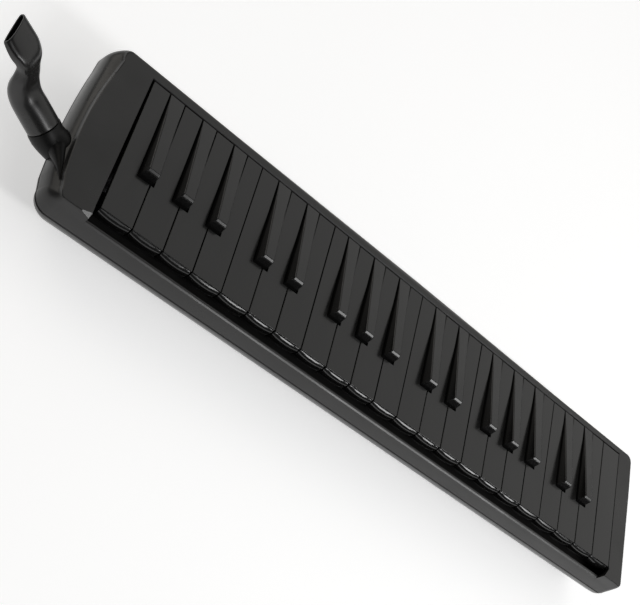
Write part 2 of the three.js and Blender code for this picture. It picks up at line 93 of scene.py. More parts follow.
def loft(name, rings, closed=False):
    """Rings of points with the same count, joined in order. The ends are capped, or joined."""
    count = len(rings[0])
    points = [p for ring in rings for p in ring]
    faces = []
    last = len(rings) if closed else len(rings) - 1
    for r in range(last):
        a, b = r * count, (r + 1) % len(rings) * count
        for i in range(count):
            j = (i + 1) % count
            faces.append((a + i, a + j, b + j, b + i))
    if not closed:
        faces.append(tuple(reversed(range(count))))
        faces.append(tuple(range(len(points) - count, len(points))))
    return outward(new_object(name, points, faces))


def outward(obj):
    """obj with all its faces turned to point out."""
    bm = bmesh.new()
    bm.from_mesh(obj.data)
    bmesh.ops.recalc_face_normals(bm, faces=bm.faces)
    if bm.calc_volume(signed=True) < 0:
        bmesh.ops.reverse_faces(bm, faces=bm.faces)
    bm.to_mesh(obj.data)
    bm.free()
    return obj


def prism_z(name, outline, z0, z1):
    """An (x, y) outline drawn out from z0 to z1."""
    return loft(name, [[(x, y, z) for x, y in outline] for z in (z0, z1)])


def prism_x(name, outline, x0, x1):
    """A (y, z) outline drawn out from x0 to x1."""
    return loft(name, [[(x, y, z) for y, z in outline] for x in (x0, x1)])


def block(name, x0, x1, y0, y1, z0, z1):
    """A box between two corners."""
    return prism_z(name, [(x0, y0), (x1, y0), (x1, y1), (x0, y1)], z0, z1)


def circle(radius, steps):
    """Points spread evenly round a circle about the origin."""
    turn = 2 * math.pi / steps
    return [(radius * math.cos(i * turn), radius * math.sin(i * turn)) for i in range(steps)]


def square_to(axis):
    """The axis's direction, and two more that are square to it and to each other."""
    direction = Vector(axis).normalized()
    side = direction.orthogonal().normalized()
    return direction, side, direction.cross(side)


def lathe(name, profile, origin, axis, steps=48):
    """A profile of (radius, height) turned about an axis through origin. Both its ends are on the axis."""
    direction, side, other = square_to(axis)
    points, faces = [], []
    inner = profile[1:-1]
    for radius, height in inner:
        for u, v in circle(radius, steps):
            points.append(tuple(Vector(origin) + direction * height + side * u + other * v))
    for r in range(len(inner) - 1):
        for i in range(steps):
            j = (i + 1) % steps
            faces.append((r * steps + i, r * steps + j, (r + 1) * steps + j, (r + 1) * steps + i))
    for row, height in ((0, profile[0][1]), (len(inner) - 1, profile[-1][1])):
        points.append(tuple(Vector(origin) + direction * height))
        for i in range(steps):
            faces.append((row * steps + i, row * steps + (i + 1) % steps, len(points) - 1))
    return outward(new_object(name, points, faces))


def ring(name, profile, origin, axis, steps=48):
    """A closed profile of (radius, height) turned about an axis through origin."""
    direction, side, other = square_to(axis)
    rings = []
    for u, v in circle(1, steps):
        spoke = side * u + other * v
        rings.append([tuple(Vector(origin) + spoke * r + direction * h) for r, h in profile])
    return loft(name, rings, closed=True)


def apply_modifiers(obj):
    """obj with its modifiers worked into its mesh."""
    bpy.context.view_layer.update()
    evaluated = obj.evaluated_get(bpy.context.evaluated_depsgraph_get())
    mesh = bpy.data.meshes.new_from_object(evaluated)
    obj.modifiers.clear()
    old, obj.data = obj.data, mesh
    mesh.name = obj.name
    bpy.data.meshes.remove(old)
    return obj


def combine(obj, others, operation):
    """obj after a boolean operation with each of the others in turn, which are used up."""
    for other in others:
        modifier = obj.modifiers.new("combine", "BOOLEAN")
        modifier.operation = operation
        modifier.solver = "EXACT"
        modifier.object = other
        apply_modifiers(obj)
        mesh = other.data
        bpy.data.objects.remove(other)
        bpy.data.meshes.remove(mesh)
    return obj


def cut(obj, *others):
    """obj with the others taken away."""
    return combine(obj, others, "DIFFERENCE")


def join(obj, *others):
    """obj and the others as one solid."""
    return combine(obj, others, "UNION")


# Faces that meet at less than this count as one flat face.
FLAT_ANGLE = math.radians(0.6)


def tidy(obj, distance=0.01):
    """Points closer than this many millimetres are merged, and faces that lie flat together joined."""
    bm = bmesh.new()
    bm.from_mesh(obj.data)
    bmesh.ops.remove_doubles(bm, verts=bm.verts, dist=distance * MM)
    bmesh.ops.dissolve_degenerate(bm, edges=bm.edges, dist=distance * MM)
    bmesh.ops.dissolve_limit(bm, angle_limit=FLAT_ANGLE, verts=bm.verts, edges=bm.edges)
    bm.to_mesh(obj.data)
    bm.free()
    return obj


def bevel(obj, width, segments, angle):
    """Rounds the edges that turn by more than the angle."""
    modifier = obj.modifiers.new("bevel", "BEVEL")
    modifier.width = width * MM
    modifier.segments = segments
    modifier.limit_method = "ANGLE"
    modifier.angle_limit = math.radians(angle)
    modifier.miter_outer = "MITER_ARC"
    modifier.use_clamp_overlap = True
    return apply_modifiers(obj)


def smooth(obj, angle=32):
    """Faces shade smoothly across edges that turn by less than the angle."""
    bm = bmesh.new()
    bm.from_mesh(obj.data)
    for face in bm.faces:
        face.smooth = True
    for edge in bm.edges:
        edge.smooth = len(edge.link_faces) == 2 and edge.calc_face_angle(0) < math.radians(angle)
    bm.to_mesh(obj.data)
    bm.free()
    modifier = obj.modifiers.new("normals", "WEIGHTED_NORMAL")
    modifier.keep_sharp = True
    return apply_modifiers(obj)


# ---- materials ------------------------------------------------------------------------------


class Nodes:
    """Adds nodes to a material's tree and links them."""

    def __init__(self, name):
        self.material = bpy.data.materials.new(name)
        self.material.use_nodes = True
        self.tree = self.material.node_tree
        self.shader = self.tree.nodes["Principled BSDF"]
        self.place = self.add("ShaderNodeTexCoord").outputs["Object"]

    def feed(self, node, key, value):
        """Links a socket to a node's input, or sets the input to a constant."""
        if isinstance(value, bpy.types.NodeSocket):
            self.tree.links.new(value, node.inputs[key])
        else:
            node.inputs[key].default_value = value

    def add(self, kind, inputs=None, **settings):
        node = self.tree.nodes.new(kind)
        for key, value in settings.items():
            setattr(node, key, value)
        for key, value in (inputs or {}).items():
            self.feed(node, key, value)
        return node

    def noise(self, scale, detail=3.0, roughness=0.5, vector=None, distortion=0.0):
        node = self.add("ShaderNodeTexNoise", {
            "Vector": vector or self.place, "Scale": scale, "Detail": detail, "Roughness": roughness,
            "Distortion": distortion,
        })
        return node.outputs["Fac"]

    def remap(self, value, low, high, from_low=0.0, from_high=1.0):
        """The value's range from from_low to from_high, spread from low to high."""
        node = self.add("ShaderNodeMapRange", {
            "Value": value, "From Min": from_low, "From Max": from_high, "To Min": low, "To Max": high,
        })
        return node.outputs["Result"]

    def mix(self, factor, first, second):
        node = self.add("ShaderNodeMix", data_type="RGBA")
        for index, value in ((0, factor), (6, first), (7, second)):
            self.feed(node, index, value)
        return node.outputs[2]

    def math(self, operation, first, second=0.0):
        node = self.add("ShaderNodeMath", operation=operation)
        for index, value in enumerate((first, second)):
            self.feed(node, index, value)
        return node.outputs[0]

    def bump(self, height, strength, distance, normal=None):
        inputs = {"Height": height, "Strength": strength, "Distance": distance}
        if normal is not None:
            inputs["Normal"] = normal
        return self.add("ShaderNodeBump", inputs).outputs["Normal"]

    def shade(self, color, roughness, normal=None, **constants):
        """The finished material: sockets for its look, and constants set on the shader."""
        for key, value in (("Base Color", color), ("Roughness", roughness), ("Normal", normal)):
            if value is not None:
                self.tree.links.new(value, self.shader.inputs[key])
        for key, value in constants.items():
            self.shader.inputs[key.replace("_", " ")].default_value = value
        return self.material


def grey(level, warmth=0.0):
    """An opaque grey, with more red and less blue where it is warm."""
    return (level * (1 + warmth), level, level * (1 - warmth), 1)


def moulded_plastic(name, level, rough, grain, grain_depth, warmth=0.02, specular=0.5):
    """Moulded plastic with a fine grain, faint flow marks, a little dust and paler worn edges."""
    n = Nodes(name)
    flow = n.noise(scale=9, detail=2)
    mottle = n.noise(scale=55, detail=4, roughness=0.6)
    specks = n.noise(scale=140, detail=5, roughness=0.65)
    dust = n.remap(specks, 0, 1, from_low=0.52, from_high=0.78)
    flow = n.remap(flow, 0, 1, from_low=0.3, from_high=0.7)
    base = n.mix(flow, grey(level * 0.93, warmth), grey(level * 1.07, warmth))
    mottle = n.remap(mottle, 0, 0.5, from_low=0.4, from_high=0.8)
    base = n.mix(mottle, base, grey(level * 1.25, warmth))
    base = n.mix(n.math("MULTIPLY", dust, 0.12), base, grey(level * 2.6, 0.04))
    pointiness = n.add("ShaderNodeNewGeometry").outputs["Pointiness"]
    edge = n.remap(pointiness, 0, 1, from_low=0.52, from_high=0.6)
    base = n.mix(n.math("MULTIPLY", edge, 0.25), base, grey(level * 2.2, warmth))
    wear = n.noise(scale=30, detail=3, roughness=0.55)
    roughness = n.remap(wear, rough - 0.05, rough + 0.06, from_low=0.3, from_high=0.7)
    roughness = n.math("ADD", roughness, n.math("MULTIPLY", dust, 0.05))
    fine = n.noise(scale=grain, detail=2, roughness=0.6)
    normal = n.bump(fine, strength=0.35, distance=grain_depth * MM)
    normal = n.bump(n.noise(scale=22, detail=2), strength=0.12, distance=0.12 * MM, normal=normal)
    return n.shade(base, roughness, normal, Specular_IOR_Level=specular)


CASE_BLACK = moulded_plastic("case_plastic", level=0.012, rough=0.3, grain=2600, grain_depth=0.015)
KEY_BLACK = moulded_plastic(
    "natural_plastic", level=0.008, rough=0.15, grain=3400, grain_depth=0.003, warmth=0.01)
SHARP_BLACK = moulded_plastic(
    "sharp_plastic", level=0.009, rough=0.2, grain=2600, grain_depth=0.005, warmth=0.01)
PIPE_BLACK = moulded_plastic(
    "pipe_plastic", level=0.01, rough=0.26, grain=1800, grain_depth=0.004, warmth=0.03)
# Very dark, dull plastic: the socket's own dark plastic, and on the socket's root a painted reflection and
# shade of the pipe.
SOCKET_BLACK_AND_SHADE = moulded_plastic(
    "socket_plastic_and_painted_shade", level=0.004, rough=0.4, grain=1800, grain_depth=0.01, specular=0.2)
INNER_GREY = moulded_plastic("inner_plastic", level=0.15, rough=0.5, grain=2000, grain_depth=0.03)


def rubber_material():
    """Dull rubber, cloudy and a little scuffed."""
    n = Nodes("foot_rubber")
    base = n.mix(n.noise(scale=120, detail=4, roughness=0.6), grey(0.008), grey(0.02))
    scuff = n.noise(scale=260, roughness=0.6, distortion=0.6)
    scuff = n.remap(scuff, 0, 0.5, from_low=0.55, from_high=0.75)
    base = n.mix(scuff, base, grey(0.05, 0.03))
    roughness = n.remap(n.noise(scale=90), 0.68, 0.86)
    return n.shade(base, roughness, n.bump(n.noise(scale=1500), strength=0.5, distance=0.05 * MM))


def felt_material():
    """Pressed felt: fine fibres in soft clumps."""
    n = Nodes("stop_felt")
    fibre = n.noise(scale=1400, detail=5, roughness=0.7, distortion=1.5)
    clump = n.noise(scale=260, detail=4, roughness=0.6)
    base = n.mix(fibre, grey(0.006), grey(0.022))
    base = n.mix(n.remap(clump, 0, 0.5, from_low=0.4, from_high=0.8), base, grey(0.014))
    normal = n.bump(n.math("ADD", fibre, clump), strength=0.7, distance=0.25 * MM)
    return n.shade(base, n.remap(clump, 0.88, 1.0), normal, Sheen_Weight=0.4, Sheen_Roughness=0.5)


def webbing_material():
    """Plain-woven nylon: warp ribs along x that pass over and under the weft."""
    n = Nodes("strap_webbing")

    def ribs(direction, scale, distortion):
        wave = n.add("ShaderNodeTexWave", {
            "Vector": n.place, "Scale": scale, "Distortion": distortion, "Detail": 1.0, "Detail Scale": 2.0,
        }, wave_type="BANDS", bands_direction=direction, wave_profile="SIN")
        return wave.outputs["Fac"]

    warp = ribs("Y", 190.0, 0.3)
    weft = ribs("X", 130.0, 0.4)
    weave = n.math("MULTIPLY", warp, n.remap(weft, 0.45, 1.0))
    fibre = n.noise(scale=2400, roughness=0.7)
    # The weave's low parts between the threads are darker and its ribs lighter: painted shade.
    base = n.mix(weave, grey(0.006), grey(0.032))
    base = n.mix(n.math("MULTIPLY", fibre, 0.3), base, grey(0.06))
    woven = n.bump(weave, strength=0.8, distance=0.35 * MM)
    normal = n.bump(fibre, strength=0.3, distance=0.05 * MM, normal=woven)
    return n.shade(base, n.remap(fibre, 0.7, 0.95), normal, Sheen_Weight=0.25, Sheen_Roughness=0.4)


def metal_material(name, color, rough, brushed_scale):
    """Drawn or rolled metal, with fine lines along x and faint tarnish."""
    n = Nodes(name)
    stretch = n.add("ShaderNodeMapping", {"Vector": n.place, "Scale": (0.04, 1.0, 1.0)}).outputs["Vector"]
    lines = n.noise(scale=brushed_scale, roughness=0.6, vector=stretch)
    tarnish = n.noise(scale=70, detail=4, roughness=0.6)
    tarnish = n.remap(tarnish, 0, 1, from_low=0.45, from_high=0.75)
    bright = (*color, 1)
    dark = (*(channel * 0.62 for channel in color), 1)
    base = n.mix(n.math("MULTIPLY", tarnish, 0.6), bright, dark)
    roughness = n.remap(lines, rough - 0.08, rough + 0.1)
    roughness = n.math("ADD", roughness, n.math("MULTIPLY", tarnish, 0.12))
    return n.shade(base, roughness, n.bump(lines, strength=0.25, distance=0.02 * MM), Metallic=1.0)


RUBBER = rubber_material()
FELT = felt_material()
WEBBING = webbing_material()
BRASS = metal_material("reed_brass", (0.72, 0.5, 0.2), rough=0.3, brushed_scale=1500)
STEEL = metal_material("spring_steel", (0.6, 0.6, 0.62), rough=0.28, brushed_scale=1800)
SCREW_STEEL = metal_material("screw_steel", (0.34, 0.34, 0.36), rough=0.35, brushed_scale=900)


def dress(obj, material, body, slot, *replaced):
    """Paints a piece, makes it ride on its body and hides the CAD nodes it stands for."""
    obj.data.materials.clear()
    obj.data.materials.append(material)
    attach(obj, body)
    if replaced:
        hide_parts(*replaced)
    return obj


NODE_MATERIALS = {
    "key_rod": STEEL, "spring_comb": STEEL, "key_frame": CASE_BLACK,
    "valve_board": INNER_GREY, "air_chamber": INNER_GREY, "key_stop_felt": FELT,
    "chamber_gasket": RUBBER, "drain_seal": RUBBER, "reed_plate_low": BRASS, "reed_plate_high": BRASS,
}
for node, material in NODE_MATERIALS.items():
    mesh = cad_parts[node].data
    mesh.materials.clear()
    mesh.materials.append(material)

# ---- the case -------------------------------------------------------------------------------


def arc(x, y, radius, start, end, steps):
    """Points along a circle's arc about (x, y), from one angle in degrees to another."""
    points = []
    for i in range(steps + 1):
        angle = math.radians(start + (end - start) * i / steps)
        points.append((x + radius * math.cos(angle), y + radius * math.sin(angle)))
    return points


LEFT_MIDDLE, LEFT_BOW, LEFT_FRONT_BOW = 33, 0.0014, 0.9


def left_edge(y):
    """The left end's plan: a shallow bow, widest a little in front of the middle."""
    share = 1 if y > LEFT_MIDDLE else LEFT_FRONT_BOW
    return CASE_LEFT + LEFT_BOW * (y - LEFT_MIDDLE) ** 2 * share


# The case seen from above, run round from its front right corner.
CASE_RIGHT = 447.3
FRONT_RIGHT_R, BACK_RIGHT_R, BACK_LEFT_R, FRONT_LEFT_R = 6.8, 7, 10.8, 9
PLAN = [
    *arc(CASE_RIGHT - FRONT_RIGHT_R, CASE_FRONT + FRONT_RIGHT_R, FRONT_RIGHT_R, -90, 0, 16),
    (CASE_RIGHT, 30), (CASE_RIGHT, 60),
    *arc(439.8, 84.8, BACK_RIGHT_R, 0, 90, 12),
    (330, CASE_BACK + 0.3), (210, CASE_BACK + 1.4), (90, CASE_BACK + 1.3),
    *arc(-15.4, 82.6, BACK_LEFT_R, 90, 172, 14),
    *[(left_edge(y), y) for y in range(76, 2, -4)],
    *arc(-17.8, CASE_FRONT + FRONT_LEFT_R, FRONT_LEFT_R, 176, 270, 14),
]
PLAN_LOW = (min(x for x, y in PLAN), min(y for x, y in PLAN))
PLAN_HIGH = (max(x for x, y in PLAN), max(y for x, y in PLAN))

# Rows of the lower half, from its bottom up: height, and how far the front, back, left and right are
# drawn in.
LOWER_RIM = PARTING_Z - HALF_GAP
LOWER_ROWS = [
    (CASE_BOTTOM, 15.4, 7.6, 18.2, 10.7), (-37.9, 14.6, 6.9, 17.4, 9.9), (-37.5, 14.0, 6.2, 16.7, 9.2),
    (-36.8, 13.2, 5.0, 15.5, 8.0), (-35.6, 12.2, 3.4, 13.3, 6.0), (-34.4, 11.3, 2.2, 11.2, 4.3),
    (-32.4, 9.7, 1.2, 9.6, 2.8), (-30.2, 7.8, 0.6, 7.9, 1.6), (-28, 5.9, 0.3, 6.3, 0.8),
    (-25, 3.8, 0.1, 4.4, 0.3), (-22, 2.0, 0, 2.8, 0.1), (-19.6, 0.8, 0, 1.5, 0), (-17.6, 0.2, 0, 0.6, 0),
    (PARTING_Z - 0.7, 0, 0, 0, 0), (LOWER_RIM, 0.3, 0.3, 0.3, 0.3),
]
# Rows of the upper half, from its rim up, as (inset, height) for each side. The left side is the long
# chamfer.
UPPER_RIM = PARTING_Z + HALF_GAP
UPPER_ROWS = {
    "front": [
        (0.3, UPPER_RIM), (0, -14.4), (0.5, -12.6), (1.2, -10), (1.9, -7.8), (2.5, -6), (2.9, -4.6),
        (3.25, -3.4), (3.6, -2.2), (3.95, -1.2), (4.15, -0.55), (4.3, -0.2), (4.5, -0.04), (4.9, 0),
    ],
    "back": [
        (0.3, UPPER_RIM), (0, -14.4), (0, -12.6), (0, -10), (0, -7.8), (0, -6), (0.05, -4.6),
        (0.2, -3.4), (0.5, -2.4), (0.95, -1.5), (1.5, -0.85), (2.1, -0.35), (2.8, -0.08), (3.5, 0),
    ],
    "left": [
        (0.3, UPPER_RIM), (0, -14.4), (0, -12.6), (0.05, -10.4), (0.3, -8.6), (0.9, -7), (1.9, -5.6),
        (3.2, -4.4), (4.6, -3.4), (5.8, -2.75), (6.7, -2.2), (7.15, -1.2), (7.4, -0.3), (7.9, 0),
    ],
    "right": [
        (0.3, UPPER_RIM), (0, -14.4), (0, -12.6), (0, -10), (0.05, -7.8), (0.15, -6), (0.35, -4.6),
        (0.65, -3.4), (1.05, -2.4), (1.5, -1.5), (2.0, -0.85), (2.6, -0.35), (3.3, -0.08), (4.0, 0),
    ],
}


def plan_normals():
    """The outward direction at each point of the plan."""
    normals = []
    for i, (x, y) in enumerate(PLAN):
        ax, ay = PLAN[i - 1]
        bx, by = PLAN[(i + 1) % len(PLAN)]
        before, after = Vector((x - ax, y - ay)), Vector((bx - x, by - y))
        tangent = (before.normalized() + after.normalized()).normalized()
        normals.append((tangent.y, -tangent.x))
    return normals


NORMALS = plan_normals()

# The chamfer beside the fascia narrows towards its middle by this share.
FASCIA_BOW = 0.38
BOW_MIDDLE, BOW_REACH = 30, 53


def upper_ring(row, thickness):
    """One row of the upper half, moved in by a thickness and lowered so that the top moves as far."""
    points = []
    for (x, y), (nx, ny) in zip(PLAN, NORMALS):
        shares = {
            "front": max(0, -ny) ** 2, "back": max(0, ny) ** 2,
            "left": max(0, -nx) ** 2, "right": max(0, nx) ** 2,
        }
        narrow = 1 - FASCIA_BOW * max(0, 1 - ((y - BOW_MIDDLE) / BOW_REACH) ** 2)
        insets = {side: UPPER_ROWS[side][row][0] * (narrow if side == "left" else 1) for side in shares}
        step = sum(insets[side] * share for side, share in shares.items()) + thickness
        z = sum(UPPER_ROWS[side][row][1] * share for side, share in shares.items())
        lowered = UPPER_RIM + (z - UPPER_RIM) * (1 - thickness / -UPPER_RIM)
        points.append((x - nx * step, y - ny * step, lowered))
    return points


def lower_ring(row, thickness):
    """One row of the lower half, moved in by a thickness and raised so that the bottom moves as far."""
    z, front, back, left, right = LOWER_ROWS[row]
    points = []
    for x, y in PLAN:
        u = (x - PLAN_LOW[0]) / (PLAN_HIGH[0] - PLAN_LOW[0])
        v = (y - PLAN_LOW[1]) / (PLAN_HIGH[1] - PLAN_LOW[1])
        px = (PLAN_LOW[0] + left + thickness) * (1 - u) + (PLAN_HIGH[0] - right - thickness) * u
        py = (PLAN_LOW[1] + front + thickness) * (1 - v) + (PLAN_HIGH[1] - back - thickness) * v
        raised = LOWER_RIM + (z - LOWER_RIM) * (1 - thickness / (LOWER_RIM - CASE_BOTTOM))
        points.append((px, py, raised))
    return points


def shell(name, make_ring, rows):
    """A half of the case, open at its rim. The rows run from the rim to the closed end."""
    outer = [make_ring(row, 0) for row in rows]
    inner = [make_ring(row, WALL) for row in rows]
    return loft(name, [*reversed(outer), *inner])


upper = shell("upper_shell", upper_ring, range(len(UPPER_ROWS["front"])))
lower = shell("lower_shell", lower_ring, range(len(LOWER_ROWS) - 1, -1, -1))

# The window for the keys, with a small chamfer round its top edge, except at the front.
WINDOW_CHAMFER = 0.35
RIGHT_SHARE = 0.3
WINDOW_FRONT, WINDOW_BACK = -1.5, 85.6
WINDOW_FRONT_LEFT, WINDOW_BACK_LEFT = -2.4, -0.8


def window_ring(grow, z):
    """The window's outline at height z, wider by grow but for its front and most of its right side."""
    right = KEYBOARD + grow * RIGHT_SHARE
    return [
        (WINDOW_FRONT_LEFT - grow, WINDOW_FRONT, z), (right, WINDOW_FRONT, z),
        (right, WINDOW_BACK + grow, z), (WINDOW_BACK_LEFT - grow, WINDOW_BACK + grow, z),
    ]


window = loft("window_cutter", [
    window_ring(0, -12), window_ring(0, -WINDOW_CHAMFER),
    window_ring(WINDOW_CHAMFER, 0.02), window_ring(WINDOW_CHAMFER, 5),
])

# What is cut from the upper half in front of the keys: its lower edge is the front rail's rounded
# top, and the deep part behind that is the slot for the naturals' lips.
RAIL_TOP = -5
RAIL_SECTION = [
    (-25, -6.6), (-9.9, -6.6), (-9.72, -6.15), (-9.45, -5.78), (-8.75, -5.27), (-8.4, -5.07),
    (-8.1, RAIL_TOP), (-7.7, RAIL_TOP), (-7.25, -5.12), (-7, -5.5), (-7, -14), (0.5, -14), (0.5, 5), (-25, 5),
]
RAIL_PLAN = [
    (-2.6, 0.6), (-2.6, -26), (413, -26), (421.9, -13), (422.8, -11.8), (429.9, -1.2), (429.3, 0.6),
]
rail = prism_x("rail_cutter", RAIL_SECTION, -20, 445)
combine(rail, [prism_z("rail_limit", RAIL_PLAN, -20, 6)], "INTERSECT")
# The fascia's front corner is cut off at a slant, beside the rail.
chip = new_object("fascia_corner_cutter", [
    (-2.5, -5.6, 0.04), (-2.5, -9.6, -2.9), (-8.4, -7.4, 0.04), (-2.5, -12, 1),
], [(0, 1, 2), (0, 3, 1), (1, 3, 2), (0, 2, 3)])
cut(upper, window, rail, outward(chip))

# ---- the blow pipe ----------------------------------------------------------------------------

MOUTH_AXIS = Vector((-0.908, 0.233, 0.349)).normalized()
MOUTH_SEAT = Vector((-38.8, 24.9, -9))
SOCKET_R, SOCKET_BORE, DUCT_R, BLOW_BORE = 8.7, 7.4, 6.0, 4.2
SPIGOT_R, SPIGOT_LENGTH, MOUTH_WALL = 5.4, 12, 0.8
# The line along x on which both the duct's end and the drain button lie.
PORT_Y, PORT_Z = 77, -26
SPAN_STEPS = 16


def spline(points, steps):
    """Points evenly spread along a smooth curve through the given ones."""
    path = [Vector(p) for p in points]
    path = [2 * path[0] - path[1], *path, 2 * path[-1] - path[-2]]
    fine = []
    for i in range(1, len(path) - 2):
        a, b, c, d = path[i - 1:i + 3]
        for k in range(SPAN_STEPS):
            t = k / SPAN_STEPS
            square = (2 * a - 5 * b + 4 * c - d) * t * t
            cube = (3 * b - a - 3 * c + d) * t ** 3
            fine.append(0.5 * (2 * b + (c - a) * t + square + cube))
    fine.append(path[-2])
    lengths = [0.0]
    for a, b in zip(fine, fine[1:]):
        lengths.append(lengths[-1] + (b - a).length)
    result = []
    for i in range(steps + 1):
        want = lengths[-1] * i / steps
        k = max(1, next((j for j, s in enumerate(lengths) if s >= want - 1e-9), len(fine) - 1))
        share = (want - lengths[k - 1]) / (lengths[k] - lengths[k - 1])
        result.append(fine[k - 1].lerp(fine[k], share))
    return result


def tube_rings(path, radii, steps):
    """Circles across a path, turned as little as possible from one to the next."""
    rings = []
    side = None
    for i, (centre, radius) in enumerate(zip(path, radii)):
        ahead = (path[min(i + 1, len(path) - 1)] - path[max(i - 1, 0)]).normalized()
        side = ahead.orthogonal() if side is None else side - ahead * side.dot(ahead)
        side.normalize()
        other = ahead.cross(side)
        rings.append([tuple(centre + side * u + other * v) for u, v in circle(radius, steps)])
    return rings


ROUTE = spline([
    MOUTH_SEAT, MOUTH_SEAT - MOUTH_AXIS * 6, (-21.5, 22.8, -12.3), (-14.5, 30, -14.5), (-13, 45, -18.5),
    (-12.6, 62, -23.5), (-9, 74.4, -25.8), (-2.3, PORT_Y, PORT_Z),
], 40)
# A tapered root runs from the socket down the left end, beside the fascia. It is partly the socket's own
# skirt and partly a dark ridge put where the pipe's dark reflection and shade lie on the chamfer: painted
# reflection and shade.
ROOT = spline([
    (-29.2, 21, -9), (-27.4, 15.5, -6.9), (-25.9, 10.5, -4.9), (-24.7, 5.5, -3.2), (-23.6, 1, -2.1),
], 10)
ROOT_R, ROOT_TIP_R, ROOT_TAPER = 5.6, 0.2, 1.1
PIPE_SIDES, ROOT_SIDES = 56, 28
PIPE_GAP, ROOT_GAP = 0.25, 0.08
# The shares of the route's length where it starts to narrow, and over which it does so.
NARROW_FROM, NARROW_OVER = 0.2, 0.16
# The bore's cutter is this much thinner than the bore, so that their walls aren't flush.
BORE_SKIM = 0.01
BORE_REACH = 12


def root_rings(grow):
    """The root's circles, wider by grow, which shrink towards its tip."""
    last = len(ROOT) - 1
    radii = [grow + ROOT_TIP_R + ROOT_R * (1 - i / last) ** ROOT_TAPER for i in range(len(ROOT))]
    return tube_rings(ROOT, radii, ROOT_SIDES)


def route_radii(socket, duct):
    """The socket's radius, then the duct's, with an easy slope between them."""
    radii = []
    for i in range(len(ROUTE)):
        t = min(1, max(0, (i / (len(ROUTE) - 1) - NARROW_FROM) / NARROW_OVER))
        radii.append(socket + (duct - socket) * t * t * (3 - 2 * t))
    return radii


def socket_piece():
    """The socket and duct as one closed tube wall, with a rounded rim at the socket's mouth."""
    outside = tube_rings(ROUTE, route_radii(SOCKET_R, DUCT_R), PIPE_SIDES)
    inside = tube_rings(ROUTE, route_radii(SOCKET_BORE, BLOW_BORE), PIPE_SIDES)
    rim = []
    for radius, out in ((SOCKET_BORE + 0.08, -0.28), (SOCKET_BORE + 0.3, -0.06), (SOCKET_BORE + 0.55, 0),
                        (SOCKET_R - 0.5, 0), (SOCKET_R - 0.2, -0.08), (SOCKET_R - 0.04, -0.3)):
        path = [MOUTH_SEAT + MOUTH_AXIS * out, MOUTH_SEAT + MOUTH_AXIS * (out - 1)]
        rim.append(tube_rings(path, [radius, radius], PIPE_SIDES)[0])
    return loft("inlet_socket_tube", [*reversed(inside[1:]), *rim, *outside[1:]], closed=True)


def pipe_cutter(name):
    """The room for the socket and duct in a half of the case."""
    path = [MOUTH_SEAT + MOUTH_AXIS * 4, *ROUTE[1:]]
    return loft(name, tube_rings(path, route_radii(SOCKET_R + PIPE_GAP, DUCT_R + PIPE_GAP), PIPE_SIDES))


def bore_cutter():
    """The socket's bore, which the root would otherwise reach into."""
    path = [MOUTH_SEAT + MOUTH_AXIS, *ROUTE[:BORE_REACH]]
    return loft("socket_bore", tube_rings(path, [SOCKET_BORE - BORE_SKIM] * len(path), PIPE_SIDES))


cut(upper, pipe_cutter("upper_pipe_cutter"), loft("root_cutter", root_rings(ROOT_GAP)))
cut(lower, pipe_cutter("lower_pipe_cutter"))
# The root is joined to the socket in the same very dark plastic, which on the root is painted reflection and
# shade.
socket = join(socket_piece(), loft("socket_root_and_shade_ridge", root_rings(0)))
dress(smooth(cut(socket, bore_cutter()), angle=40), SOCKET_BLACK_AND_SHADE, "case", "pipe_black", "inlet_socket")

# The mouthpiece is rolled a little about its axis, its tip is cut at a slant, and it bends by each
# angle in turn over each length.
LEVEL = (Vector((0, 0, 1)) - MOUTH_AXIS * MOUTH_AXIS.z).normalized()
ROLL = math.radians(3)
RISE = LEVEL * math.cos(ROLL) + MOUTH_AXIS.cross(LEVEL) * math.sin(ROLL)
ACROSS = RISE.cross(MOUTH_AXIS)
TIP_SLANT = math.tan(math.radians(12))
BENDS = [(14.1, 0), (14.5, 44), (10, 0), (4.5, -43), (12.3, 0)]
# Place along the mouthpiece, half width, half height, how square its section is, and how deep the
# section's lower half is against the upper one.
SIZES = [
    (0, 8.4, 8.4, 2, 1), (11.6, 8.4, 8.3, 2, 1), (19, 8.3, 7.4, 2.2, 1), (25, 8.4, 6.3, 2.8, 0.85),
    (31, 8.2, 5.4, 3.3, 0.62), (36.6, 7.4, 4.8, 3.3, 0.5), (40.8, 8.5, 4.5, 3.2, 0.47),
    (45.1, 9.6, 4.5, 3.2, 0.46), (50, 9.7, 4.2, 2.9, 0.42), (55.4, 9.2, 3.9, 2.8, 0.3),
]
MOUTH_LENGTH = SIZES[-1][0]
SHOULDER_GAP = 0.3
SLANT_FROM = 47
HOLLOW_FROM = 9
STATION_STEP = 0.9
MOUTH_SIDES = 64


def eased(place, column):
    """A size along the mouthpiece, on a smooth curve through the stated ones."""
    last = len(SIZES) - 1
    k = max(1, next((i for i, row in enumerate(SIZES) if row[0] >= place - 1e-9), last))
    rows = [SIZES[max(0, k - 2)], SIZES[k - 1], SIZES[k], SIZES[min(last, k + 1)]]
    a, b, c, d = (row[column] for row in rows)
    pa, pb, pc, pd = (row[0] for row in rows)
    t = (place - pb) / (pc - pb)
    slope_b = (c - a) / (pc - pa) * (pc - pb)
    slope_c = (d - b) / (pd - pb) * (pc - pb)
    if k == last:
        slope_c = c - b
    if k == 1:
        slope_b = 0
    t2, t3 = t * t, t ** 3
    from_b = (2 * t3 - 3 * t2 + 1) * b + (t3 - 2 * t2 + t) * slope_b
    return from_b + (3 * t2 - 2 * t3) * c + (t3 - t2) * slope_c


